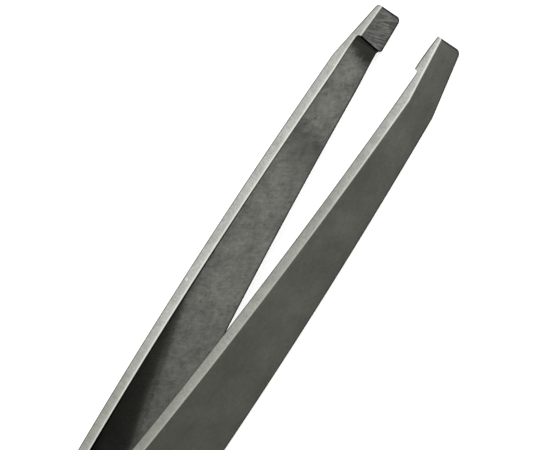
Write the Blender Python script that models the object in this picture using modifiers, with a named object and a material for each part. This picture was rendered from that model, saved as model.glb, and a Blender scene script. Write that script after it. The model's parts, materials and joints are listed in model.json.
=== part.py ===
"""A pair of steel tweezers, modelled in metres with +Z up and +X towards the tips.

Two steel strips lie face to face at the heel, where spot welds join them, and bow apart towards a
pair of gripping lands at the tips. Each strip is divided at its bending line into a welded heel and
a swinging arm. The tweezers lie on the straight lower edges of their arms, so the strips' own frame
is tilted about Y. In that frame the tips end at x = 0, the heel is at negative x, and y = 0 is the
plane between the strips.
"""

import math

import bmesh
import bpy
from mathutils import Vector

MM = 0.001

# Turns a shape that is made about Z, or in the XY plane, to face along Y.
ACROSS = (math.pi / 2, 0.0, 0.0)

# Overall, in millimetres.
LENGTH = 95.0
STOCK = 1.5
SIDES = {"left": 1, "right": -1}

# The strip's face: a straight taper to its widest place, then a shorter taper to a rounded heel.
TIP_WIDTH = 3.06
EDGE_SLOPE = 0.0599
WIDEST_X = -60.0
WIDEST_BLEND = 60.0
HEEL_WIDTH = 6.6
HEEL_CORNER = 2.5
TIP_CORNER = 0.6

# The bow, as the distance from the plane between the strips to the inner face.
TIP_HALF_GAP = 5.16
BOW_DROP = 2.43
BOW_LENGTH = 50.0
BOW_POWER = 2.26
BOW_END_X = -60.0
HEEL_HALF_GAP = 0.15

# The gripping land at the tip, and the bevel that thins the tip from outside.
LAND_LENGTH = 3.8
LAND_TIP_HALF_GAP = 4.65
LAND_ROOT_HALF_GAP = 4.71
LAND_LEAN = 0.105
LAND_FILLET = 0.2
TIP_THICKNESS = 0.72
BEVEL_LENGTH = 6.7

# The bending line, with the gap that divides each strip there.
HINGE_X = -66.0
SPLIT_GAP = 0.3

# Spot welds through the two heels, and the dimples that the electrodes leave outside.
WELD_XS = (-84.5, -89.5)
WELD_RADIUS = 1.4
WELD_HALF_HEIGHT = 0.3
WELD_CLEARANCE = 0.35
DIMPLE_RADIUS = 1.25
DIMPLE_DEPTH = 0.15

STEEL = (0.33, 0.33, 0.31, 1.0)
STEEL_ROUGHNESS = 0.42
WELD_STEEL = (0.24, 0.24, 0.25, 1.0)
WELD_ROUGHNESS = 0.6

# How far a blank or a cutter runs past the face that it is cut by, and how finely curves are divided.
OVERRUN = 1.0
BLANK_HALF_HEIGHT = 5.5
FACE_HALF_DEPTH = 9.0
STATION_STEP = 4.0
ARC_STEPS = 6
FILLET_STEPS = 4
TURN_STEPS = 24
NUDGE = 0.01


def bow_slope(x):
    """Slope of the inner face at x, before the heel blend takes over."""
    return BOW_DROP * BOW_POWER * (-x / BOW_LENGTH) ** (BOW_POWER - 1) / BOW_LENGTH


def half_gap(x):
    """Distance from the plane between the strips to the inner face at x."""
    if x > BOW_END_X:
        return TIP_HALF_GAP - BOW_DROP * (max(-x, 0.0) / BOW_LENGTH) ** BOW_POWER
    at_end = TIP_HALF_GAP - BOW_DROP * (-BOW_END_X / BOW_LENGTH) ** BOW_POWER
    blend_length = 2 * (at_end - HEEL_HALF_GAP) / bow_slope(BOW_END_X)
    along = max(0.0, 1 - (BOW_END_X - x) / blend_length)
    return HEEL_HALF_GAP + (at_end - HEEL_HALF_GAP) * along**2


def strip_point(x, depth):
    """Point of the strip that is square to the inner face at x, at a depth into the stock."""
    slope = (half_gap(x + NUDGE) - half_gap(x - NUDGE)) / (2 * NUDGE)
    scale = depth / math.hypot(1, slope)
    return x - slope * scale, half_gap(x) + scale


def arc(centre, radius, start, end, steps=ARC_STEPS):
    """Points along an arc, with angles in degrees."""
    angles = [math.radians(start + (end - start) * i / steps) for i in range(steps + 1)]
    return [(centre[0] + radius * math.cos(a), centre[1] + radius * math.sin(a)) for a in angles]


def stations(start, end):
    """Evenly spaced x values from start to end, both included."""
    count = max(1, round(abs(end - start) / STATION_STEP))
    return [start + (end - start) * i / count for i in range(count + 1)]


def heel_outline():
    """Side view of a heel blank, which the face outline cuts to length."""
    xs = stations(-LENGTH - OVERRUN, HINGE_X - SPLIT_GAP / 2)
    inner = [strip_point(x, 0.0) for x in xs]
    outer = [strip_point(x, STOCK) for x in reversed(xs)]
    outer[0] = (xs[-1], outer[0][1])
    return inner + outer


def arm_outline():
    """Side view of an arm blank: bowed strip, step, gripping land and outside bevel."""
    root = -LAND_LENGTH
    rear = HINGE_X + SPLIT_GAP / 2
    inner = [strip_point(x, 0.0) for x in stations(rear, root - LAND_FILLET)]
    fillet_centre = (root - LAND_FILLET, half_gap(root - LAND_FILLET) - LAND_FILLET)
    step = arc(fillet_centre, LAND_FILLET, 90, 0, FILLET_STEPS)[1:]
    grip_slope = (LAND_ROOT_HALF_GAP - LAND_TIP_HALF_GAP) / LAND_LENGTH
    land = [(root, LAND_ROOT_HALF_GAP), (OVERRUN, LAND_TIP_HALF_GAP - grip_slope * OVERRUN)]
    bevel_start = strip_point(-BEVEL_LENGTH, STOCK)
    tip_outside = LAND_TIP_HALF_GAP + TIP_THICKNESS
    bevel_slope = (tip_outside - bevel_start[1]) / -bevel_start[0]
    bevel = [(OVERRUN, tip_outside + bevel_slope * OVERRUN), bevel_start]
    outer = [strip_point(x, STOCK) for x in stations(-BEVEL_LENGTH - STATION_STEP, rear)]
    outer[-1] = (rear, outer[-1][1])
    return inner + step + land + bevel + outer


def face_outline():
    """Face view of a whole strip, in x and z."""
    tip = TIP_WIDTH / 2
    widest = tip - EDGE_SLOPE * WIDEST_X
    taper = math.degrees(math.atan(EDGE_SLOPE))
    heel_slope = (widest - HEEL_WIDTH / 2) / (LENGTH + WIDEST_X)
    heel_taper = math.degrees(math.atan(heel_slope))
    half_turn = math.tan(math.radians(taper + heel_taper) / 2)
    blend_x = WIDEST_X + WIDEST_BLEND * half_turn * math.cos(math.radians(taper))
    blend_z = widest - WIDEST_BLEND * half_turn * math.sin(math.radians(taper))
    sine, cosine = math.sin(math.radians(taper)), math.cos(math.radians(taper))
    blend_centre = (blend_x - WIDEST_BLEND * sine, blend_z - WIDEST_BLEND * cosine)
    blend = arc(blend_centre, WIDEST_BLEND, 90 - taper, 90 + heel_taper)
    heel_centre = (-LENGTH + HEEL_CORNER, HEEL_WIDTH / 2 - HEEL_CORNER)
    heel = arc(heel_centre, HEEL_CORNER, 90 + heel_taper, 180)
    upper = [(0.0, tip)] + blend + heel
    corner_centre = (-TIP_CORNER, -tip - EDGE_SLOPE * TIP_CORNER + TIP_CORNER / cosine)
    lower = [(x, -z) for x, z in reversed(blend + heel)]
    return upper + lower + arc(corner_centre, TIP_CORNER, taper - 90, 0)


def new_collection(name):
    collection = bpy.data.collections.new(name)
    bpy.context.scene.collection.children.link(collection)
    return collection


def steel(name, color, roughness):
    material = bpy.data.materials.new(name)
    material.use_nodes = True
    shader = material.node_tree.nodes["Principled BSDF"]
    shader.inputs["Base Color"].default_value = color
    shader.inputs["Metallic"].default_value = 1.0
    shader.inputs["Roughness"].default_value = roughness
    material.diffuse_color = color
    return material


def add_object(name, mesh, collection, stand, location=(0.0, 0.0, 0.0), rotation=(0.0, 0.0, 0.0)):
    """Place a mesh in the strips' tilted frame, at a location in millimetres."""
    piece = bpy.data.objects.new(name, mesh)
    collection.objects.link(piece)
    piece.parent = stand
    piece.location = Vector(location) * MM
    piece.rotation_euler = rotation
    return piece


def prism_mesh(name, outline, half_depth, origin=(0.0, 0.0)):
    """Closed mesh of a flat outline in millimetres, extruded both ways, with its origin moved."""
    curve = bpy.data.curves.new(name, "CURVE")
    curve.dimensions = "2D"
    curve.fill_mode = "BOTH"
    curve.extrude = half_depth * MM
    spline = curve.splines.new("POLY")
    spline.use_cyclic_u = True
    spline.points.add(len(outline) - 1)
    for point, (x, y) in zip(spline.points, outline):
        point.co = ((x - origin[0]) * MM, (y - origin[1]) * MM, 0.0, 1.0)
    guide = bpy.data.objects.new(name, curve)
    bpy.context.scene.collection.objects.link(guide)
    evaluated = guide.evaluated_get(bpy.context.evaluated_depsgraph_get())
    mesh = bpy.data.meshes.new_from_object(evaluated)
    bpy.data.objects.remove(guide)
    bpy.data.curves.remove(curve)
    shape = bmesh.new()
    shape.from_mesh(mesh)
    bmesh.ops.remove_doubles(shape, verts=shape.verts, dist=1e-7)
    bmesh.ops.recalc_face_normals(shape, faces=shape.faces)
    shape.to_mesh(mesh)
    shape.free()
    mesh.materials.clear()
    return mesh


def lean(mesh, low_x, high_x, slope, origin):
    """Shift the mesh's points between two x values along x, in proportion to their height."""
    for vertex in mesh.vertices:
        if low_x < vertex.co.x / MM + origin[0] < high_x:
            vertex.co.x += slope * vertex.co.z


def lens_mesh(name, radius, half_height):
    """A turned lens about Z: a shallow arc from pole to rim, and its mirror image below."""
    arc_radius = (radius**2 + half_height**2) / (2 * half_height)
    half_angle = math.degrees(math.asin(radius / arc_radius))
    upper = arc((0.0, half_height - arc_radius), arc_radius, 90, 90 - half_angle)
    profile = upper + [(x, -z) for x, z in reversed(upper[:-1])]
    profile[0] = (0.0, half_height)
    profile[-1] = (0.0, -half_height)
    mesh = bpy.data.meshes.new(name)
    points = [(x * MM, 0.0, z * MM) for x, z in profile]
    edges = [(i, i + 1) for i in range(len(profile) - 1)]
    mesh.from_pydata(points, edges, [])
    turned = bpy.data.objects.new(name, mesh)
    bpy.context.scene.collection.objects.link(turned)
    screw = turned.modifiers.new("Turn", "SCREW")
    screw.steps = TURN_STEPS
    screw.render_steps = TURN_STEPS
    screw.use_merge_vertices = True
    screw.merge_threshold = 1e-6
    evaluated = turned.evaluated_get(bpy.context.evaluated_depsgraph_get())
    solid = bpy.data.meshes.new_from_object(evaluated)
    bpy.data.objects.remove(turned)
    bpy.data.meshes.remove(mesh)
    return solid


def add_cutter(name, mesh, cutters, stand, location=(0.0, 0.0, 0.0), rotation=(0.0, 0.0, 0.0)):
    cutter = add_object(name, mesh, cutters, stand, location, rotation)
    cutter.hide_render = True
    cutter.display_type = "WIRE"
    return cutter


def cut(piece, cutter, operation="DIFFERENCE"):
    boolean = piece.modifiers.new(cutter.name, "BOOLEAN")
    boolean.operation = operation
    boolean.solver = "EXACT"
    boolean.object = cutter


def mirrored(outline, side):
    """The outline on the left or the right of the plane between the strips."""
    return [(x, side * y) for x, y in outline]


def make_stand():
    """The tilted frame of the strips: it lays the arms' straight lower edges on z = 0, centred on x = 0."""
    tilt = math.atan(EDGE_SLOPE)
    front = TIP_WIDTH / 2 * math.sin(tilt)
    corner_rise = HEEL_WIDTH / 2 - HEEL_CORNER
    rear = -(LENGTH - HEEL_CORNER) * math.cos(tilt) - corner_rise * math.sin(tilt) - HEEL_CORNER
    stand = bpy.data.objects.new("strip_frame", None)
    bpy.context.scene.collection.objects.link(stand)
    stand.rotation_euler = (0.0, tilt, 0.0)
    stand.location = Vector((-(front + rear) / 2, 0.0, TIP_WIDTH / 2 * math.cos(tilt))) * MM
    return stand


def make_arm(side_name, side, parts, stand, face):
    middle = strip_point(HINGE_X, STOCK / 2)
    hinge = (HINGE_X, side * middle[1])
    mesh = prism_mesh("arm_" + side_name, mirrored(arm_outline(), side), BLANK_HALF_HEIGHT, hinge)
    lean(mesh, -LAND_LENGTH - LAND_FILLET - NUDGE, -LAND_LENGTH + NUDGE, LAND_LEAN, hinge)
    arm = add_object("arm_" + side_name, mesh, parts, stand, (hinge[0], hinge[1], 0.0))
    cut(arm, face, "INTERSECT")
    arm.data.materials.append(steel(arm.name + "_steel", STEEL, STEEL_ROUGHNESS))
    return arm


def make_heel(side_name, side, parts, cutters, stand, face):
    mesh = prism_mesh("heel_" + side_name, mirrored(heel_outline(), side), BLANK_HALF_HEIGHT)
    heel = add_object("heel_" + side_name, mesh, parts, stand)
    cut(heel, face, "INTERSECT")
    pocket_mesh = lens_mesh("pocket", WELD_RADIUS + 2 * WELD_CLEARANCE, WELD_HALF_HEIGHT + WELD_CLEARANCE)
    dimple_mesh = lens_mesh("dimple", DIMPLE_RADIUS, DIMPLE_DEPTH)
    outside = side * (HEEL_HALF_GAP + STOCK)
    for number, x in enumerate(WELD_XS, 1):
        suffix = f"_{side_name}_{number}"
        cut(heel, add_cutter("weld_pocket" + suffix, pocket_mesh, cutters, stand, (x, 0.0, 0.0), ACROSS))
        cut(heel, add_cutter("weld_dimple" + suffix, dimple_mesh, cutters, stand, (x, outside, 0.0), ACROSS))
    heel.data.materials.append(steel(heel.name + "_steel", STEEL, STEEL_ROUGHNESS))
    return heel


def make_welds(parts, stand):
    """The weld nuggets between the heels, which share one mesh."""
    nugget = lens_mesh("weld_nugget", WELD_RADIUS, WELD_HALF_HEIGHT)
    nugget.materials.append(steel("weld_steel", WELD_STEEL, WELD_ROUGHNESS))
    for number, x in enumerate(WELD_XS, 1):
        add_object(f"heel_spot_weld_{number}", nugget, parts, stand, (x, 0.0, 0.0), ACROSS)


def main():
    for thing in list(bpy.data.objects):
        bpy.data.objects.remove(thing)
    parts = new_collection("slant_tweezers")
    cutters = new_collection("cutters")
    stand = make_stand()
    face_mesh = prism_mesh("strip_face", face_outline(), FACE_HALF_DEPTH)
    face = add_cutter("strip_face", face_mesh, cutters, stand, rotation=ACROSS)
    for side_name, side in SIDES.items():
        make_arm(side_name, side, parts, stand, face)
        make_heel(side_name, side, parts, cutters, stand, face)
    make_welds(parts, stand)


main()
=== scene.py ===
"""Looks of the steel tweezers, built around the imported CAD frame.

Each strip of steel is one mesh from heel to tip: two faces on a shared grid of stations and columns,
and a rim that rounds their edges. Lengths are in millimetres in the strips' own frame, where x is 0
at the tips and negative towards the heel, y is the distance from the plane between the strips, and z
runs across a strip's face. strip_frame() turns them into metres in the CAD frame. Where a value has
two entries, 1 is the left strip and -1 the right one, which differ a little as hand-ground ones do.
"""

import json
import math
from collections import namedtuple

import bmesh
import bpy
import numpy as np
from mathutils import Matrix, Vector, noise


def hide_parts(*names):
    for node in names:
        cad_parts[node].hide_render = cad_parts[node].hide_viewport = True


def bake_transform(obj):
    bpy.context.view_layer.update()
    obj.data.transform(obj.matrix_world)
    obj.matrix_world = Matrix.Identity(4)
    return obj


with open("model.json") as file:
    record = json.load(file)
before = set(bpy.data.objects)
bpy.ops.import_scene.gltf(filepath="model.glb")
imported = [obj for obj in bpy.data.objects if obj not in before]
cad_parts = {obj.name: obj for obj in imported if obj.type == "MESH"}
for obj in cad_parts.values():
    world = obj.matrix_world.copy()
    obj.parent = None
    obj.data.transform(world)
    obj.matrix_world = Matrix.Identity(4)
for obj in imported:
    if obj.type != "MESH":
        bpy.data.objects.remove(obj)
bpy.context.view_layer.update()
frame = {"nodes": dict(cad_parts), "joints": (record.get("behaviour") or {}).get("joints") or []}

MM = 0.001

# The step over which slopes are taken, and the least squared length of a span that is divided by.
SLOPE_STEP = 0.01
LEAST_SPAN = 1e-12

# The strip, with the sizes that its CAD solids have.
LENGTH = 95.0
STOCK = {1: 1.5, -1: 1.45}
TIP_WIDTH = 3.06
EDGE_SLOPE = 0.0599
WIDEST_X = -60.0
WIDEST_SOFTNESS = 0.376
HEEL_WIDTH = 6.6
HEEL_CORNER = 2.5
TIP_CORNER = 0.6
TIP_HALF_GAP = 5.16
BOW_DROP = 2.43
BOW_LENGTH = 50.0
BOW_POWER = 2.26
BOW_END_X = -60.0
HEEL_HALF_GAP = 0.15
HINGE_X = -66.0

# The gripping land: its root, its height at both ends, the crown between them, and the rounding of
# its lower corner at the root. The root leans, and the lean fades out in front of it and behind it.
LAND_ROOT_X = {1: -4.05, -1: -4.05}
LAND_TIP_HALF_GAP = {1: 4.65, -1: 4.61}
LAND_ROOT_HALF_GAP = {1: 4.71, -1: 4.57}
LAND_CROWN = {1: 0.0, -1: 0.09}
LAND_CORNER = 0.32
LAND_LEAN = 0.105
LEAN_START_X = -8.5
LEAN_END_X = -0.8

# The step behind the land, with the fillet and the undercut at its foot. The zone is the stretch
# round the root in which the lean is full and the outer face has even stations.
STEP_FILLET = 0.36
STEP_UNDERCUT = {1: 0.16, -1: -0.02}
UNDERCUT_START_X = -9.0
UNDERCUT_FULL = 0.6
STEP_ZONE = (-1.0, 0.5)

# The bevel and the rounding outside the tip. The rounding stops short of standing upright. From the
# bevel's start to TIP_STOCK_X the edge thins to about TIP_STOCK, which only its looks use.
TIP_X = {1: -0.25, -1: 0.0}
TIP_OUTSIDE = {1: 5.37, -1: 5.30}
TIP_STOCK = 0.75
TIP_STOCK_X = -0.3
BEVEL_LENGTH = 6.9
BEVEL_LEAN = 0.05
BEVEL_SOFTNESS = 0.05
TIP_ROUNDING = {1: 0.38, -1: 0.24}
ROUNDING_LIMIT = 0.95

# The heel: the strips close on each other there, over seated weld nuggets, with electrode dimples
# outside.
HEEL_SEAM = 0.01
SEAM_ZONE = (-79.0, -66.0)
WELD_XS = (-84.5, -89.5)
WELD_RADIUS = 1.45
WELD_HALF_HEIGHT = 0.3
DIMPLE_RADIUS = 1.25
DIMPLE_DEPTH = 0.15

# Edge rounding and mesh density. Stations are close together behind HEEL_FINE_X and in front of
# TIP_FINE_X.
RIM = 0.055
RIM_STEPS = 3
EDGE_ROWS = 6
COLUMNS = 28
HEEL_FINE_X = -81.5
TIP_FINE_X = -9.0
HEEL_SPACING = 0.2
MIDDLE_SPACING = 0.7
TIP_SPACING = 0.12
LAND_SPACING = 0.08
HEEL_CORNER_ROWS = 14
ZONE_ROWS = 6
FILLET_ROWS = 7
CREST_ROWS = 4
TIP_CORNER_ROWS = 9

# Material zones of a strip's mesh.
INSIDE, OUTSIDE, GROUND, LAND, RIM_ZONE = range(5)

# The file marks on the lands: their depth, and how far they lean from square across. Their noise has
# three layers, each with its scale across and along the marks, its plane and its strength, and the
# last two go up and down from the middle of the depth.
MARK_DEPTH = 0.016
MARK_ANGLE = 13.0
MARK_SWAY = (0.5, 0.7, 3.0, 0.35)
MARK_BROAD = (2.6, 0.35, 7.0, 0.6)
MARK_FINE = (6.0, 0.6, 11.0, 0.4)
MARK_MIDDLE = 0.5

# The two strips' patterns are drawn this far to either side in y, so that they don't match. A y
# beyond SIDE_Y to either side then says which strip a point is on.
PATTERN_SHIFT = 20.0
SIDE_Y = 1.0

# Most of a noise value lies in this range.
NOISE_LOW, NOISE_HIGH = 0.3, 0.7

# The finishes: their dark and light colours, the roughness that goes with each, the depth of their
# finest relief, the tones at which they are darkest and lightest, and how dark their marks and the
# painted shade along their outlines are as a share of the dark colour.
Finish = namedtuple("Finish", "dark light roughness relief limits marked", defaults=(None, None))
INSIDE_FINISH = Finish(
    dark=(0.094, 0.095, 0.085, 1.0),
    light=(0.186, 0.188, 0.169, 1.0),
    roughness=(0.17, 0.13),
    relief=0.0012,
    limits=(-0.38, 0.38),
    marked=0.16,
)
OUTSIDE_FINISH = Finish(
    dark=(0.070, 0.071, 0.0615, 1.0),
    light=(0.103, 0.1045, 0.0905, 1.0),
    roughness=(0.34, 0.28),
    relief=0.0015,
    limits=(0.26, 0.74),
    marked=0.5,
)
GROUND_FINISH = Finish(
    dark=(0.475, 0.48, 0.442, 1.0),
    light=(0.76, 0.768, 0.708, 1.0),
    roughness=(0.36, 0.30),
    relief=0.003,
    limits=(-0.8, 0.8),
)
LAND_FINISH = Finish(
    dark=(0.062, 0.062, 0.058, 1.0),
    light=(0.178, 0.18, 0.169, 1.0),
    roughness=(0.34, 0.42),
    relief=0.004,
    limits=(0.3, 0.7),
    marked=0.25,
)
WELD_FINISH = Finish(
    dark=(0.16, 0.16, 0.18, 1.0),
    light=(0.30, 0.27, 0.23, 1.0),
    roughness=(0.65, 0.5),
    relief=0.02,
)
INSIDE_ROUGHNESS_LIMITS = (-0.4, 0.4)
# The rims' colour and roughness, and how dark their painted shade is as a share of the colour.
RIM_COLOR = (0.62, 0.62, 0.58, 1.0)
RIM_ROUGHNESS = 0.36
RIM_SHADED = 0.12

# The tint of the faces' reflections at grazing angles, the straw colour that welding leaves round a
# spot, and painted light: a lighter colour deep between the arms.
GRAZING_TINT = (0.35, 0.35, 0.35, 1.0)
HEAT_TINT = (0.085, 0.066, 0.04, 1.0)
DEEP_PAINTED_LIGHT = (0.195, 0.195, 0.195, 1.0)

# Painted shade along the faces' outlines, each with the distances from the edge between which it
# fades, and then its strength: a dark line and a soft dark band along the top edge, and a dark line
# along the other edges.
INSIDE_TOP_LINE = (0.02, 0.22, 0.92)
INSIDE_TOP_BAND = (0.1, 1.6, 0.22)
INSIDE_REST_LINE = (0.04, 0.26, 0.95)
OUTSIDE_TOP_LINE = (0.0, 0.14, 0.5)
OUTSIDE_REST_LINE = (0.03, 0.22, 0.9)
LAND_TOP_LINE = (0.0, 0.18, 0.7)
LAND_TOP_BAND = (0.2, 2.0, 0.28)
LAND_REST_LINE = (0.05, 0.24, 0.95)

# Marks on the inner faces, each with the two places between which it fades, and then its strength:
# painted shade behind the step and at its foot, a stain farther back, painted shade towards the
# heel, and the other arm's dark reflection painted deep between the arms, starting on a slanting
# line and giving way to painted light, a lighter colour. Most of their borders wander with the
# mottle. The pits' range is one of noise.
PITS = (0.24, 0.31, 0.5)
WANDER_MOTTLE = 1.1
WANDER_LEAN = -0.25
STEP_SHADE = (-6.5, -5.2, 0.88)
FOOT_SHADE = (-4.9, -4.4, 0.96)
STAIN_BACK = (-20.0, -15.5)
STAIN_FRONT = (-15.5, -12.5)
STAIN_STRENGTH = 0.46
HEEL_SHADE = (-48.5, -33.0, 0.33)
DEEP_SLANT = 0.318
DEEP_MOTTLE = 0.5
DEEP_SHADE = (-11.1, -10.2, 0.52)
DEEP_SHADE_END = (-12.9, -11.1)
DEEP_LIGHT_ZONE = (-15.5, -12.0, 0.46)

# Marks on the outer faces, in the same way: painted shade that darkens the face towards the heel
# and the top edge, behind a slanting line, and the rings round the welds.
OUTSIDE_SHADE_SLANT = -3.5
OUTSIDE_SHADE_ZONE = (-62.0, -12.0, 0.48)
RING_INSIDE = (0.9, 1.25)
RING_OUTSIDE = (1.3, 2.0, 0.6)

# Painted shade on the ground edges, in the same way: a darker stretch towards the heel on both
# strips, weaker on the right one, and another on each, with the share of red, green and blue that
# they leave.
EDGE_HEEL_SHADE_ZONE = (-47.5, -37.0, 0.40)
EDGE_HEEL_SHADE_ON_RIGHT = 0.45
RIGHT_SHADE_ZONE = (-22.0, -3.0, 0.39)
LEFT_SHADE_ZONE = (-6.5, -4.5, 0.18)
SHADE_TINT = (0.40, 0.40, 0.33)

# Across the stock, a ground edge has a painted highlight along one side, with a sharp and a soft
# part, and painted shade that grows darker towards a black line along the other. The highlight is
# broken up in places: its strength changes from one value to another between two stations.
BLACK = (0.0, 0.0, 0.0, 1.0)
HIGHLIGHT_LINE = (0.13, 0.27, 1.0)
HIGHLIGHT_BAND = (0.22, 0.6, 0.14)
EDGE_SHADE = (0.1, 0.9, 0.15)
EDGE_LINE = (0.09, 0.20, 0.9)
LEFT_HIGHLIGHT_BACK = (-52.0, -42.0, 0.6, 1.0)
LEFT_HIGHLIGHT_FRONT = (-6.8, -5.0, 1.0, 0.45)
RIGHT_HIGHLIGHT = (-24.0, -9.0, 0.16, 0.9)
HIGHLIGHT_BREAKUP = (0.65, 1.0)
HIGHLIGHT_BRIGHTNESS = 1.45

# The rims: bright up to the middle of the stock, less so on the right strip, painted shade beyond.
RIM_BRIGHT_ZONE = (0.4, 0.6, 1.0)
RIM_BRIGHT_ON_RIGHT = 0.6

# A small nick in the ground edge of the left strip, drawn only as a painted glint: its station, how
# far across the stock it lies, and how it fades away round its centre.
NICK_X = -33.7
NICK_ACROSS = 0.67
NICK_SPREAD = (0.10, 0.24, 0.5)

# The camera, in the strips' frame: angles in degrees, lengths in millimetres. Its clipping distances
# are in metres.
VIEW_ELEVATION = 41.79
VIEW_AZIMUTH = -4.28
VIEW_ROLL = -60.34
VIEW_DISTANCE = 285.8
VIEW_LENS = 188.4
VIEW_SENSOR = 36.0
VIEW_AIM = (-24.28, 1.07, 1.11)
VIEW_CLIP = (0.01, 10.0)

# The studio, in metres and watts: plain paper with a little glow of its own, one large soft light
# and a white world.
FLOOR_REACH = 3.0
FLOOR_Z = -0.00005
FLOOR_TONE = (0.74, 0.74, 0.74, 1.0)
FLOOR_ROUGHNESS = 0.9
FLOOR_GLOW = 0.60
WHITE = (1.0, 1.0, 1.0, 1.0)
WORLD_STRENGTH = 0.81
KEY_PLACE = (0.574, -0.12, 0.81)
KEY_SIZE = 0.8
KEY_POWER = 2.2


def smoothstep(low, high, value):
    t = np.clip((value - low) / (high - low), 0.0, 1.0)
    return t * t * (3 - 2 * t)


def smooth_min(a, b, softness):
    overlap = np.maximum(softness - np.abs(a - b), 0.0) / softness
    return np.minimum(a, b) - overlap**2 * softness / 4


def slope_of(curve, x):
    return (curve(x + SLOPE_STEP) - curve(x - SLOPE_STEP)) / (2 * SLOPE_STEP)


def strip_frame():
    """Turns strip millimetres into metres in the CAD frame, from the hinge in the record."""
    hinge = next(j for j in frame["joints"] if j["child"] == "right_arm")
    up = Vector(hinge["axis"]).normalized()
    along = Vector((up.z, 0.0, -up.x))
    at = Vector(hinge["pos_m"])
    at.y = 0.0
    turned = Matrix((along, Vector((0.0, 1.0, 0.0)), up)).transposed().to_4x4()
    return Matrix.Translation(at - along * HINGE_X * MM) @ turned @ Matrix.Scale(MM, 4)


def bow(x):
    """Distance from the plane between the strips to the recessed inner face."""
    front = TIP_HALF_GAP - BOW_DROP * (np.maximum(-x, 0.0) / BOW_LENGTH) ** BOW_POWER
    at_end = TIP_HALF_GAP - BOW_DROP * (-BOW_END_X / BOW_LENGTH) ** BOW_POWER
    slope = BOW_DROP * BOW_POWER * (-BOW_END_X / BOW_LENGTH) ** (BOW_POWER - 1) / BOW_LENGTH
    blend_length = 2 * (at_end - HEEL_HALF_GAP) / slope
    along = np.clip(1 - (BOW_END_X - x) / blend_length, 0.0, 1.0)
    rear = HEEL_HALF_GAP + (at_end - HEEL_HALF_GAP) * along**2
    return np.where(x > BOW_END_X, front, rear)


def half_width(x):
    """Half the strip's width, away from its rounded corners."""
    tip = TIP_WIDTH / 2
    widest = tip - EDGE_SLOPE * WIDEST_X
    heel_slope = (widest - HEEL_WIDTH / 2) / (LENGTH - HEEL_CORNER + WIDEST_X)
    front, rear = tip - EDGE_SLOPE * x, widest + heel_slope * (x - WIDEST_X)
    return smooth_min(front, rear, WIDEST_SOFTNESS)


def outer_face(x, z, side):
    """Height of the outer face: the bowed stock, ground away by the bevel near the tip."""
    stock = bow(x) + STOCK[side] * np.hypot(1.0, slope_of(bow, x))
    start = -BEVEL_LENGTH + BEVEL_LEAN * z
    at_start = bow(start) + STOCK[side]
    bevel = TIP_OUTSIDE[side] + (at_start - TIP_OUTSIDE[side]) * x / start
    radius = TIP_ROUNDING[side]
    past = np.clip((x - TIP_X[side]) / radius + 1, 0.0, ROUNDING_LIMIT)
    return smooth_min(stock, bevel, BEVEL_SOFTNESS) - radius * (1 - np.sqrt(1 - past**2))


def lens_depth(x, z, radius, depth):
    """Depth of the shallow round hollows centred on the welds."""
    nearest = np.min([np.hypot(x - weld, z) for weld in WELD_XS], axis=0)
    return depth * np.maximum(1 - (nearest / radius) ** 2, 0.0)


def recess(x, side):
    """The inner face behind the step, where the grinding next to the step differed a little."""
    near_step = smoothstep(UNDERCUT_START_X, LAND_ROOT_X[side] - UNDERCUT_FULL, x)
    return bow(x) + STEP_UNDERCUT[side] * near_step


def plain_rows(start, end, count):
    """Even stations from start up to, but not at, end."""
    return [(x, None, None, None) for x in np.linspace(start, end, count, endpoint=False)]


def stations(side):
    """Stations from heel to tip, each with the inner face's x, its height where that is set, and the
    angle round the heel's corner or the tip's where the station lies on it."""
    rows = []
    heel_radius = HEEL_CORNER - RIM
    for angle in np.radians(np.linspace(0, 90, HEEL_CORNER_ROWS, endpoint=False)):
        x = -LENGTH + HEEL_CORNER - heel_radius * math.cos(angle)
        rows.append((x, None, angle, None))
    root = LAND_ROOT_X[side]
    zone = root + STEP_ZONE[0]
    stretches = (
        (-LENGTH + HEEL_CORNER, HEEL_FINE_X, HEEL_SPACING),
        (HEEL_FINE_X, TIP_FINE_X, MIDDLE_SPACING),
        (TIP_FINE_X, zone, TIP_SPACING),
    )
    for start, end, spacing in stretches:
        rows += plain_rows(start, end, round((end - start) / spacing))
    rows += plain_rows(zone, root - STEP_FILLET, ZONE_ROWS)
    foot = float(recess(root - STEP_FILLET, side)) - STEP_FILLET
    for angle in np.radians(np.linspace(90, 0, FILLET_ROWS)):
        x = root - STEP_FILLET + STEP_FILLET * math.cos(angle)
        rows.append((x, foot + STEP_FILLET * math.sin(angle), None, None))
    crest = LAND_ROOT_HALF_GAP[side] + RIM
    rows.append((root, (foot + crest) / 2, None, None))
    for angle in np.radians(np.linspace(180, 270, CREST_ROWS)):
        x = root + RIM + RIM * math.cos(angle)
        rows.append((x, crest + RIM * math.sin(angle), None, None))
    land_x = root + RIM
    corner = TIP_X[side] - TIP_CORNER
    rows += plain_rows(land_x, corner, round((corner - land_x) / LAND_SPACING))[1:]
    for angle in np.radians(np.linspace(0, 90, TIP_CORNER_ROWS)):
        rows.append((corner + (TIP_CORNER - RIM) * math.sin(angle), None, None, angle))
    return rows


def mark_layer(across, along, across_scale, along_scale, plane, strength):
    return strength * noise.noise(Vector((across * across_scale, along * along_scale, plane)))


def file_marks(x, z):
    """Depth from 0 to 1 of the wavy file marks on a land."""
    turn = math.radians(MARK_ANGLE)
    across = x * math.cos(turn) + z * math.sin(turn)
    along = z * math.cos(turn) - x * math.sin(turn)
    depth = np.zeros_like(x)
    for index in np.ndindex(x.shape):
        swayed = across[index] + mark_layer(across[index], along[index], *MARK_SWAY)
        broad = mark_layer(swayed, along[index], *MARK_BROAD)
        fine = mark_layer(swayed, along[index], *MARK_FINE)
        depth[index] = MARK_MIDDLE + broad + fine
    return np.clip(depth, 0.0, 1.0)


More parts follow.
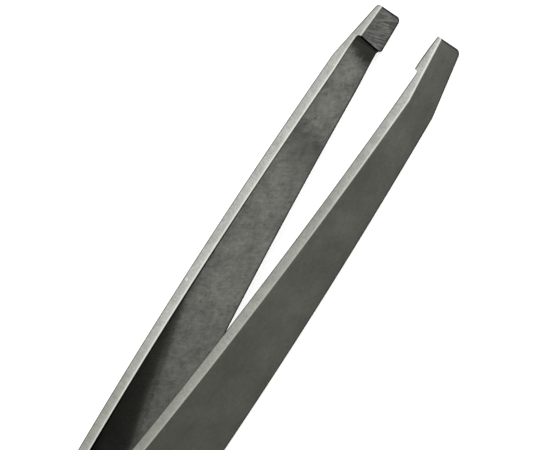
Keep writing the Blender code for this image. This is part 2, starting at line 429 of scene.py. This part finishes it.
def rails(x, side, heel_angle, tip_angle):
    """Where each station's row starts and ends across a face, short of the rim, and the outward
    normals of the outline there."""
    slope = slope_of(half_width, x)
    top = half_width(x) - RIM
    normal = np.stack([-slope, np.ones_like(x)], -1) / np.hypot(1, slope)[:, None]
    corner_x = -LENGTH + HEEL_CORNER
    rise = half_width(corner_x) - HEEL_CORNER * math.hypot(1, slope_of(half_width, corner_x))
    heel = ~np.isnan(heel_angle)
    top[heel] = rise + (HEEL_CORNER - RIM) * np.sin(heel_angle[heel])
    normal[heel] = np.stack([-np.cos(heel_angle[heel]), np.sin(heel_angle[heel])], -1)
    bottom, bottom_normal = -top, normal * (1, -1)
    tip = ~np.isnan(tip_angle)
    centre = half_width(TIP_X[side] - TIP_CORNER) - TIP_CORNER * math.hypot(1, EDGE_SLOPE)
    bottom[tip] = -centre - (TIP_CORNER - RIM) * np.cos(tip_angle[tip])
    bottom_normal[tip] = np.stack([np.sin(tip_angle[tip]), -np.cos(tip_angle[tip])], -1)
    # The tip's upper corner is square, so the rims of both edges meet there.
    normal[-1] = (1.0, 1.0)
    return top, bottom, normal, bottom_normal


def strip_grids(side):
    """The inner and outer faces as (stations, columns, 3) grids, the outward normals of their
    outline, and the station at which the land starts."""
    x_in, set_height, heel_angle, tip_angle = np.array(stations(side), dtype=float).T
    x_out = x_in.copy()
    zone_start, zone_end = (LAND_ROOT_X[side] + offset for offset in STEP_ZONE)
    zone = np.flatnonzero((x_in >= zone_start) & (x_in <= zone_end))
    x_out[zone] = np.linspace(x_in[zone[0]], x_in[zone[-1]], len(zone))
    lean = LAND_LEAN * smoothstep(LEAN_START_X, zone_start, x_in)
    lean *= 1 - smoothstep(zone_end, LEAN_END_X, x_in)

    share = np.linspace(0.0, 1.0, COLUMNS + 1)
    top, bottom, top_normal, bottom_normal = rails(x_in, side, heel_angle, tip_angle)
    held = ~np.isnan(set_height)
    land_start = int(np.flatnonzero(held)[-1])
    # The land's lower corner is cut from the station halfway up the step.
    into_corner = np.clip(1 - (x_in - LAND_ROOT_X[side]) / LAND_CORNER, 0.0, 1.0)
    into_corner[: land_start - CREST_ROWS] = 0.0
    bottom += LAND_CORNER * (1 - np.sqrt(1 - into_corner**2))
    z_in = top[:, None] + (bottom - top)[:, None] * share
    top_out, bottom_out = rails(x_out, side, heel_angle, tip_angle)[:2]
    z_out = top_out[:, None] + (bottom_out - top_out)[:, None] * share
    grid_x_in = x_in[:, None] + lean[:, None] * z_in
    grid_x_out = np.repeat(x_out[:, None], COLUMNS + 1, 1)

    at_tip, at_root = LAND_TIP_HALF_GAP[side], LAND_ROOT_HALF_GAP[side]
    along = grid_x_in / LAND_ROOT_X[side]
    land = at_tip + (at_root - at_tip) * along - LAND_CROWN[side] * 4 * along * (1 - along)
    land += MARK_DEPTH * file_marks(grid_x_in, z_in)
    y_in = recess(grid_x_in, side)
    y_in -= (HEEL_HALF_GAP - HEEL_SEAM) * (1 - smoothstep(*SEAM_ZONE, grid_x_in))
    y_in += lens_depth(grid_x_in, z_in, WELD_RADIUS, WELD_HALF_HEIGHT)
    y_in[land_start:] = land[land_start:]
    y_in[held] = set_height[held, None]
    y_out = outer_face(grid_x_out, z_out, side)
    y_out -= lens_depth(grid_x_out, z_out, DIMPLE_RADIUS, DIMPLE_DEPTH)
    inner = np.stack([grid_x_in, y_in, z_in], -1)
    outer = np.stack([grid_x_out, y_out, z_out], -1)
    return inner, outer, top_normal, bottom_normal, land_start


def outline_loop(count):
    """Grid places round a face: along the top, down the tip, back along the bottom, up the heel."""
    last = count - 1
    loop = [(j, 0) for j in range(count)]
    loop += [(last, i) for i in range(1, COLUMNS)]
    loop += [(j, COLUMNS) for j in reversed(range(count))]
    loop += [(0, i) for i in reversed(range(1, COLUMNS))]
    return loop


def outline_normals(loop, top_normal, bottom_normal):
    """The outline's outward normal at each place of the loop."""
    normals = []
    for j, i in loop:
        if i == 0:
            normals.append(top_normal[j])
        elif i == COLUMNS:
            normals.append(bottom_normal[j])
        else:
            normals.append((1.0, 0.0) if j == len(top_normal) - 1 else (-1.0, 0.0))
    return np.array(normals)


def rim_rings(ring_in, ring_out, normals):
    """Rings of points from the inner face's outline to the outer face's, rounded next to both, and
    how far across the stock each lies."""
    thickness = ring_out[:, 1] - ring_in[:, 1]
    rows = []
    turns = np.radians(np.linspace(0, 90, RIM_STEPS + 1)[1:])
    for turn in turns:
        rows.append((RIM * math.sin(turn), RIM * (1 - math.cos(turn)) / thickness))
    for share in np.linspace(0, 1, EDGE_ROWS + 1)[1:-1]:
        rows.append((RIM, RIM / thickness + share * (1 - 2 * RIM / thickness)))
    for turn in reversed(turns):
        rows.append((RIM * math.sin(turn), 1 - RIM * (1 - math.cos(turn)) / thickness))
    rings = []
    for offset, depth in rows:
        ring = ring_in + (ring_out - ring_in) * depth[:, None]
        ring[:, (0, 2)] += normals * offset
        rings.append(ring)
    return rings, [depth.mean() for _, depth in rows]


def strip_faces(count, loop, ring_count, land_start):
    """The faces of a strip's mesh, and the material zone of each. Its points are numbered through
    the inner grid, the outer grid and then the rings between their outlines."""
    width = COLUMNS + 1

    def grid_point(outside, j, i):
        return outside * count * width + j * width + i

    def inner_zone(j):
        return LAND if j >= land_start else INSIDE

    faces, zones = [], []
    for outside in (0, 1):
        for j in range(count - 1):
            for i in range(COLUMNS):
                corners = ((j, i), (j + 1, i), (j + 1, i + 1), (j, i + 1))
                faces.append([grid_point(outside, *at) for at in corners])
                zones.append(OUTSIDE if outside else inner_zone(j))
    belts = [[grid_point(0, *at) for at in loop]]
    for number in range(ring_count):
        start = 2 * count * width + number * len(loop)
        belts.append(list(range(start, start + len(loop))))
    belts.append([grid_point(1, *at) for at in loop])
    for number in range(len(belts) - 1):
        lower, upper = belts[number], belts[number + 1]
        for k, (j, _) in enumerate(loop):
            after = (k + 1) % len(loop)
            faces.append([lower[k], lower[after], upper[after], upper[k]])
            if RIM_STEPS <= number < len(belts) - 1 - RIM_STEPS:
                zones.append(GROUND)
            elif k < count - 1:
                zones.append(RIM_ZONE)
            else:
                zones.append(OUTSIDE if number >= RIM_STEPS else inner_zone(j))
    return faces, zones


def distance_to(points, path):
    """Distance in the strip's own plane from each point to the nearest point of a path."""
    starts, ends = path[:-1], path[1:]
    spans = ends - starts
    lengths = np.maximum((spans**2).sum(-1), LEAST_SPAN)
    offsets = points[:, None] - starts
    along = np.clip((offsets * spans).sum(-1) / lengths, 0, 1)
    return np.sqrt(((offsets - along[..., None] * spans) ** 2).sum(-1)).min(1)


def add_vectors(mesh, name, vectors):
    """Gives a mesh a vector for each point, which its materials read by name."""
    attribute = mesh.attributes.new(name, "FLOAT_VECTOR", "POINT")
    attribute.data.foreach_set("vector", vectors.astype(np.float32).ravel())


def strip_mesh(name, side, place):
    """One whole strip, on the left (side 1) or the right (side -1) of the plane between them."""
    inner, outer, top_normal, bottom_normal, land_start = strip_grids(side)
    count = len(inner)
    loop = outline_loop(count)
    ring_in = np.array([inner[j, i] for j, i in loop])
    ring_out = np.array([outer[j, i] for j, i in loop])
    normals = outline_normals(loop, top_normal, bottom_normal)
    rings, ring_depths = rim_rings(ring_in, ring_out, normals)
    points = np.concatenate([inner.reshape(-1, 3), outer.reshape(-1, 3), *rings])
    faces, zones = strip_faces(count, loop, len(rings), land_start)
    mesh = bpy.data.meshes.new(name)
    placed = points * (1, side, 1)
    mesh.from_pydata([place @ Vector(point) for point in placed], [], faces)
    mesh.polygons.foreach_set("material_index", zones)
    add_vectors(mesh, "strip_mm", points + (0, PATTERN_SHIFT * side, 0))

    # How far across the stock from the side with the painted highlight, and the distances from each
    # face's own outline: from its top edge, and from the rest of it.
    per_face = len(inner.reshape(-1, 3))
    belt_depths = np.repeat(ring_depths, len(loop))
    depths = np.concatenate([np.zeros(per_face), np.ones(per_face), belt_depths])
    shares = [depths if side == 1 else 1 - depths]
    flat = points[:, (0, 2)]
    for path in (slice(0, count + 1), slice(count - 1, None)):
        inside = distance_to(flat[:per_face], ring_in[path][:, (0, 2)])
        elsewhere = distance_to(flat[per_face:], ring_out[path][:, (0, 2)])
        shares.append(np.concatenate([inside, elsewhere]))
    add_vectors(mesh, "strip_share", np.stack(shares, -1))

    shape = bmesh.new()
    shape.from_mesh(mesh)
    bmesh.ops.recalc_face_normals(shape, faces=shape.faces)
    shape.to_mesh(mesh)
    shape.free()
    mesh.shade_smooth()
    return mesh


def shade(color, factor):
    return tuple(factor * value for value in color[:3]) + (1.0,)


class Shader:
    """A material's node tree, with short calls for what the materials share."""

    def __init__(self, name, **uniform):
        self.material = bpy.data.materials.new(name)
        self.material.use_nodes = True
        self.tree = self.material.node_tree
        self.surface = self.tree.nodes["Principled BSDF"]
        for socket, value in uniform.items():
            self.surface.inputs[socket.replace("_", " ")].default_value = value

    def add(self, kind, inputs=None, **settings):
        made = self.tree.nodes.new(kind)
        for key, value in settings.items():
            setattr(made, key, value)
        for socket, value in (inputs or {}).items():
            self.feed(made.inputs[socket], value)
        return made

    def feed(self, socket, value):
        if isinstance(value, bpy.types.NodeSocket):
            self.tree.links.new(value, socket)
        else:
            socket.default_value = value

    def place(self, scale=(1.0, 1.0, 1.0), turn=0.0):
        """Position on the strip in millimetres, turned about y and then scaled."""
        at = self.add("ShaderNodeAttribute", attribute_name="strip_mm")
        inputs = {
            "Vector": at.outputs["Vector"],
            "Rotation": (0.0, math.radians(-turn), 0.0),
            "Scale": tuple(1 / value for value in scale),
        }
        return self.add("ShaderNodeMapping", inputs, vector_type="TEXTURE").outputs["Vector"]

    def share(self):
        """How far a point lies across the stock, and its distances from the top edge and from the
        other edges."""
        made = self.add("ShaderNodeAttribute", attribute_name="strip_share")
        return self.parts(made.outputs["Vector"])

    def parts(self, vector):
        """The x, y and z of a vector."""
        return tuple(self.add("ShaderNodeSeparateXYZ", {0: vector}).outputs)

    def noise(self, vector, scale, detail=3.0, roughness=0.55, distortion=0.0):
        inputs = {
            "Vector": vector,
            "Scale": scale,
            "Detail": detail,
            "Roughness": roughness,
            "Distortion": distortion,
        }
        return self.add("ShaderNodeTexNoise", inputs).outputs["Fac"]

    def span(self, value, low, high, to_low, to_high):
        """Maps low..high to to_low..to_high, and holds the end values beyond it."""
        inputs = {0: value, 1: low, 2: high, 3: to_low, 4: to_high}
        return self.add("ShaderNodeMapRange", inputs).outputs["Result"]

    def rise(self, value, low, high, strength=1.0):
        return self.span(value, low, high, 0.0, strength)

    def fade(self, value, low, high, strength=1.0):
        return self.span(value, low, high, strength, 0.0)

    def by_side(self, y, on_right, on_left):
        """One value on the right strip and another on the left one."""
        return self.span(y, -SIDE_Y, SIDE_Y, on_right, on_left)

    def spread(self, value, to_low, to_high):
        """A noise value, spread over to_low..to_high."""
        return self.span(value, NOISE_LOW, NOISE_HIGH, to_low, to_high)

    def centred(self, value):
        return self.spread(value, -0.5, 0.5)

    def add_up(self, a, b, factor):
        inputs = {0: b, 1: factor, 2: a}
        return self.add("ShaderNodeMath", inputs, operation="MULTIPLY_ADD").outputs[0]

    def layer(self, tone, *layers):
        """A tone with centred noise values added to it, each times its strength."""
        for value, strength in layers:
            tone = self.add_up(tone, self.centred(value), strength)
        return tone

    def multiply(self, a, b):
        return self.add("ShaderNodeMath", {0: a, 1: b}, operation="MULTIPLY").outputs[0]

    def largest(self, first, *others):
        for other in others:
            inputs = {0: first, 1: other}
            first = self.add("ShaderNodeMath", inputs, operation="MAXIMUM").outputs[0]
        return first

    def distance(self, a, b):
        made = self.add("ShaderNodeVectorMath", {0: a, 1: b}, operation="DISTANCE")
        return made.outputs["Value"]

    def mix(self, share, a, b):
        made = self.add("ShaderNodeMix", data_type="RGBA")
        for socket, value in zip((0, 6, 7), (share, a, b)):
            self.feed(made.inputs[socket], value)
        return made.outputs[2]

    def finish(self, color, roughness, height=None, relief=None):
        """Sets the surface's colour, its roughness, and its bump if it has one, and gives the
        material. The relief is the bump's depth in millimetres."""
        self.feed(self.surface.inputs["Base Color"], color)
        self.feed(self.surface.inputs["Roughness"], roughness)
        if height is not None:
            inputs = {"Height": height, "Strength": 1.0, "Distance": relief * MM}
            bump = self.add("ShaderNodeBump", inputs)
            self.feed(self.surface.inputs["Normal"], bump.outputs["Normal"])
        return self.material


def tumbled_inside(name, finish):
    """Inner faces: soft blotches over faint grinding lines, pits, a stain, painted shade and light.
    """
    shader = Shader(name, Metallic=1.0, Specular_Tint=GRAZING_TINT)
    at = shader.place()
    x, _, z = shader.parts(at)
    _, from_top, from_rest = shader.share()
    blotches = shader.noise(at, scale=0.5, detail=3.0, roughness=0.55, distortion=0.3)
    mottle = shader.noise(at, scale=1.9, detail=4.0, roughness=0.65, distortion=0.4)
    along_lines = shader.place(scale=(5.0, 1.0, 0.8), turn=23.0)
    lines = shader.noise(along_lines, scale=1.0, detail=3.0, roughness=0.6, distortion=0.5)
    grain = shader.noise(at, scale=6.0, detail=3.0, roughness=0.65)
    pits = shader.fade(shader.noise(at, scale=2.3, detail=2.0, roughness=0.5), *PITS)
    tone = shader.multiply(shader.centred(blotches), 0.40)
    tone = shader.layer(tone, (mottle, 0.50), (lines, 0.30), (grain, 0.26))
    color = shader.mix(shader.rise(tone, *finish.limits), finish.dark, finish.light)
    marked = shade(finish.dark, finish.marked)
    color = shader.mix(pits, color, marked)

    wander = shader.add_up(shader.layer(x, (mottle, WANDER_MOTTLE)), z, WANDER_LEAN)
    # Painted shade behind the step and at its foot.
    behind_step = shader.largest(
        shader.rise(wander, *STEP_SHADE),
        shader.rise(x, *FOOT_SHADE),
    )
    stain = shader.multiply(shader.rise(wander, *STAIN_BACK), shader.fade(wander, *STAIN_FRONT))
    # Painted shade towards the heel, and the other arm's dark reflection painted deep between the
    # arms.
    deep = shader.layer(shader.add_up(from_top, x, DEEP_SLANT), (mottle, DEEP_MOTTLE))
    shade_between_arms = shader.largest(shader.fade(deep, *DEEP_SHADE), shader.fade(x, *HEEL_SHADE))
    shade_between_arms = shader.multiply(shade_between_arms, shader.rise(deep, *DEEP_SHADE_END))
    stain_and_shade = shader.largest(behind_step, shader.multiply(stain, STAIN_STRENGTH), shade_between_arms)
    # Painted light: a lighter colour deep between the arms.
    color = shader.mix(shader.fade(deep, *DEEP_LIGHT_ZONE), color, DEEP_PAINTED_LIGHT)

    # Painted shade along the outlines.
    shaded_outline = shader.largest(
        shader.fade(from_top, *INSIDE_TOP_LINE),
        shader.fade(from_top, *INSIDE_TOP_BAND),
        shader.fade(from_rest, *INSIDE_REST_LINE),
    )
    color = shader.mix(shader.largest(stain_and_shade, shaded_outline), color, marked)
    roughness = shader.span(tone, *INSIDE_ROUGHNESS_LIMITS, *finish.roughness)
    return shader.finish(color, roughness, grain, finish.relief)


def tumbled_outside(name, finish):
    """Outer faces: an even satin finish, with painted shade towards the heel and the top edge."""
    shader = Shader(name, Metallic=1.0, Specular_Tint=GRAZING_TINT)
    at = shader.place()
    x, _, z = shader.parts(at)
    _, from_top, from_rest = shader.share()
    blotches = shader.noise(at, scale=0.25, detail=4.0, roughness=0.55, distortion=0.3)
    mottle = shader.noise(at, scale=2.4, detail=3.0, roughness=0.6, distortion=0.3)
    along_lines = shader.place(scale=(0.6, 1.0, 4.5), turn=8.0)
    lines = shader.noise(along_lines, scale=1.0, detail=3.0, roughness=0.6)
    grain = shader.noise(at, scale=7.0, detail=3.0, roughness=0.65)
    tone = shader.layer(blotches, (lines, 0.12), (mottle, 0.16), (grain, 0.26))
    color = shader.mix(shader.rise(tone, *finish.limits), finish.dark, finish.light)

    flat = shader.add("ShaderNodeCombineXYZ", {0: x, 2: z}).outputs[0]
    for weld in WELD_XS:
        from_weld = shader.distance(flat, (weld, 0.0, 0.0))
        ring = shader.rise(from_weld, *RING_INSIDE)
        ring = shader.multiply(ring, shader.fade(from_weld, *RING_OUTSIDE))
        color = shader.mix(ring, color, HEAT_TINT)

    # Painted shade towards the heel and the top edge.
    held = shader.fade(shader.add_up(x, z, OUTSIDE_SHADE_SLANT), *OUTSIDE_SHADE_ZONE)
    # Painted shade along the outlines.
    shaded_outline = shader.largest(
        shader.fade(from_rest, *OUTSIDE_REST_LINE),
        shader.fade(from_top, *OUTSIDE_TOP_LINE),
    )
    marked = shade(finish.dark, finish.marked)
    color = shader.mix(shader.largest(held, shaded_outline), color, marked)
    return shader.finish(color, shader.spread(tone, *finish.roughness), grain, finish.relief)


def ground_edge(name, finish):
    """Edges ground bright, with a fine grain across them, a painted highlight along one side and a
    painted dark line along the other, and darker stretches of painted shade."""
    shader = Shader(name, Metallic=1.0)
    at = shader.place()
    x, y, _ = shader.parts(at)
    across, _, _ = shader.share()
    on_left = shader.by_side(y, 0.0, 1.0)
    on_right = shader.by_side(y, 1.0, 0.0)
    across_lines = shader.place(scale=(9.0, 2.0, 2.0), turn=-12.0)
    lines = shader.noise(across_lines, scale=1.0, detail=3.0, roughness=0.7)
    across_chatter = shader.place(scale=(0.9, 0.5, 0.5))
    chatter = shader.noise(across_chatter, scale=1.0, detail=4.0, roughness=0.65)
    specks = shader.noise(at, scale=4.5, detail=3.0, roughness=0.65)
    tone = shader.layer(shader.centred(lines), (chatter, 1.0), (specks, 1.2))
    color = shader.mix(shader.rise(tone, *finish.limits), finish.dark, finish.light)

    # Painted shade: darker stretches along the edges.
    held = shader.fade(x, *EDGE_HEEL_SHADE_ZONE)
    held = shader.multiply(held, shader.by_side(y, EDGE_HEEL_SHADE_ON_RIGHT, 1.0))
    shaded_stretches = shader.largest(
        shader.multiply(shader.fade(x, *RIGHT_SHADE_ZONE), on_right),
        shader.multiply(shader.rise(x, *LEFT_SHADE_ZONE), on_left),
    )
    shade_color = tuple(value * factor for value, factor in zip(finish.dark, SHADE_TINT)) + (1.0,)
    color = shader.mix(shader.add_up(shaded_stretches, held, 1.0), color, shade_color)
    # Painted shade, darker across the stock away from the highlight.
    color = shader.mix(shader.rise(across, *EDGE_SHADE), color, BLACK)

    thickness = shader.span(x, -BEVEL_LENGTH, TIP_STOCK_X, STOCK[1], TIP_STOCK)
    from_highlight_side = shader.multiply(across, thickness)
    # A painted highlight along one side, broken up in patches and stretches.
    highlight = shader.largest(
        shader.fade(from_highlight_side, *HIGHLIGHT_LINE),
        shader.fade(from_highlight_side, *HIGHLIGHT_BAND),
    )
    patches = shader.noise(at, scale=0.8, detail=4.0, roughness=0.6)
    left_strength = shader.multiply(
        shader.span(x, *LEFT_HIGHLIGHT_BACK),
        shader.span(x, *LEFT_HIGHLIGHT_FRONT),
    )
    strength = shader.largest(
        shader.multiply(shader.span(x, *RIGHT_HIGHLIGHT), on_right),
        shader.multiply(left_strength, on_left),
    )
    strength = shader.multiply(shader.spread(patches, *HIGHLIGHT_BREAKUP), strength)
    highlight_color = shade(finish.light, HIGHLIGHT_BRIGHTNESS)
    color = shader.mix(shader.multiply(highlight, strength), color, highlight_color)

    # A painted dark line along the other side.
    from_outline = shader.multiply(shader.fade(across, 0.0, 1.0), thickness)
    color = shader.mix(shader.fade(from_outline, *EDGE_LINE), color, BLACK)
    # The nick, drawn only as a painted glint.
    nick_y = PATTERN_SHIFT + float(bow(NICK_X)) + NICK_ACROSS * STOCK[1]
    from_nick = shader.distance(at, (NICK_X, nick_y, float(half_width(NICK_X))))
    color = shader.mix(shader.fade(from_nick, *NICK_SPREAD), color, highlight_color)
    return shader.finish(color, shader.spread(lines, *finish.roughness), specks, finish.relief)


def shaded_rim(name, color):
    """Edges between the ground edge and the faces: bright on one side, painted shade on the other.
    """
    shader = Shader(name, Metallic=1.0)
    _, y, _ = shader.parts(shader.place())
    across, _, _ = shader.share()
    # Bright on the highlight's side, painted shade on the other.
    bright_share = shader.by_side(y, RIM_BRIGHT_ON_RIGHT, 1.0)
    bright_share = shader.multiply(bright_share, shader.fade(across, *RIM_BRIGHT_ZONE))
    marked = shade(color, RIM_SHADED)
    return shader.finish(shader.mix(bright_share, marked, color), RIM_ROUGHNESS)


def filed_land(name, finish):
    """The gripping lands: the marks are in the mesh, and finer scratches lie between them."""
    shader = Shader(name, Metallic=1.0, Specular_Tint=GRAZING_TINT)
    _, from_top, from_rest = shader.share()
    along_waves = shader.place(scale=(3.2, 0.5, 0.36), turn=MARK_ANGLE)
    waves = shader.noise(along_waves, scale=1.0, detail=2.0, roughness=0.5, distortion=1.2)
    along_scratches = shader.place(scale=(6.5, 0.5, 0.5), turn=MARK_ANGLE)
    scratches = shader.noise(along_scratches, scale=1.0, detail=4.0, roughness=0.65, distortion=0.9)
    specks = shader.noise(shader.place(), scale=4.0, detail=3.0, roughness=0.6)
    tone = shader.layer(waves, (scratches, 0.65), (specks, 0.25))
    color = shader.mix(shader.rise(tone, *finish.limits), finish.dark, finish.light)
    # Painted shade along the outlines.
    shaded_outline = shader.largest(
        shader.fade(from_rest, *LAND_REST_LINE),
        shader.fade(from_top, *LAND_TOP_LINE),
        shader.fade(from_top, *LAND_TOP_BAND),
    )
    color = shader.mix(shaded_outline, color, shade(finish.dark, finish.marked))
    return shader.finish(color, shader.spread(tone, *finish.roughness), tone, finish.relief)


def weld_steel(name, finish):
    """Dull, heat-tinted weld metal."""
    shader = Shader(name, Metallic=1.0)
    in_metres = shader.add("ShaderNodeTexCoord").outputs["Object"]
    inputs = {"Vector": in_metres, "Scale": (1 / MM, 1 / MM, 1 / MM)}
    at = shader.add("ShaderNodeMapping", inputs).outputs["Vector"]
    tint = shader.noise(at, scale=1.2, detail=3.0)
    color = shader.mix(tint, finish.dark, finish.light)
    return shader.finish(color, shader.spread(tint, *finish.roughness), tint, finish.relief)


def add_strip(side_name, side, place, materials):
    mesh = strip_mesh("strip_" + side_name, side, place)
    for material in materials:
        mesh.materials.append(material)
    strip = bpy.data.objects.new("strip_" + side_name, mesh)
    bpy.context.scene.collection.objects.link(strip)
    weighted = strip.modifiers.new("Flat faces", "WEIGHTED_NORMAL")
    weighted.weight = 100
    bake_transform(strip)
    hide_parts("heel_" + side_name, "arm_" + side_name)


def add_camera(place):
    elevation, azimuth, roll = map(math.radians, (VIEW_ELEVATION, VIEW_AZIMUTH, VIEW_ROLL))
    level = math.cos(elevation)
    back = Vector((-math.sin(azimuth) * level, -math.cos(azimuth) * level, math.sin(elevation)))
    side = Vector((0.0, 0.0, 1.0)).cross(back).normalized()
    above = back.cross(side)
    right = math.cos(roll) * side + math.sin(roll) * above
    up = math.cos(roll) * above - math.sin(roll) * side
    turn = (place.to_3x3() * (1 / MM)) @ Matrix((right, up, back)).transposed()
    location = place @ (Vector(VIEW_AIM) + VIEW_DISTANCE * back)
    data = bpy.data.cameras.new("camera")
    data.lens = VIEW_LENS
    data.sensor_width = VIEW_SENSOR
    data.clip_start, data.clip_end = VIEW_CLIP
    camera = bpy.data.objects.new("camera", data)
    bpy.context.scene.collection.objects.link(camera)
    camera.matrix_world = Matrix.Translation(location) @ turn.to_4x4()
    bpy.context.scene.camera = camera


def add_floor():
    shape = bmesh.new()
    bmesh.ops.create_grid(shape, x_segments=2, y_segments=2, size=FLOOR_REACH)
    mesh = bpy.data.meshes.new("floor")
    shape.to_mesh(mesh)
    shape.free()
    shader = Shader(
        "floor_paper",
        Base_Color=FLOOR_TONE,
        Roughness=FLOOR_ROUGHNESS,
        Emission_Color=WHITE,
        Emission_Strength=FLOOR_GLOW,
    )
    mesh.materials.append(shader.material)
    floor = bpy.data.objects.new("floor", mesh)
    floor.location.z = FLOOR_Z
    bpy.context.scene.collection.objects.link(floor)


def add_key_light():
    """One large soft light, aimed at the middle of the object."""
    data = bpy.data.lights.new("key", "AREA")
    data.size = KEY_SIZE
    data.energy = KEY_POWER
    light = bpy.data.objects.new("key", data)
    bpy.context.scene.collection.objects.link(light)
    light.location = KEY_PLACE
    light.rotation_euler = (-Vector(KEY_PLACE)).to_track_quat("-Z", "Y").to_euler()


def add_studio():
    world = bpy.data.worlds.new("studio")
    bpy.context.scene.world = world
    world.use_nodes = True
    background = world.node_tree.nodes["Background"]
    background.inputs["Color"].default_value = WHITE
    background.inputs["Strength"].default_value = WORLD_STRENGTH
    add_key_light()
    bpy.context.scene.view_settings.view_transform = "Standard"


def main():
    place = strip_frame()
    # In the order of the material zones.
    materials = [
        tumbled_inside("tumbled_inside", INSIDE_FINISH),
        tumbled_outside("tumbled_outside", OUTSIDE_FINISH),
        ground_edge("ground_edge", GROUND_FINISH),
        filed_land("filed_land", LAND_FINISH),
        shaded_rim("shaded_rim", RIM_COLOR),
    ]
    for side_name, side in (("left", 1), ("right", -1)):
        add_strip(side_name, side, place, materials)
    weld = weld_steel("weld_steel", WELD_FINISH)
    for name in ("heel_spot_weld_1", "heel_spot_weld_2"):
        node = frame["nodes"][name]
        node.data.materials.clear()
        node.data.materials.append(weld)
    add_floor()
    add_studio()
    add_camera(place)


main()
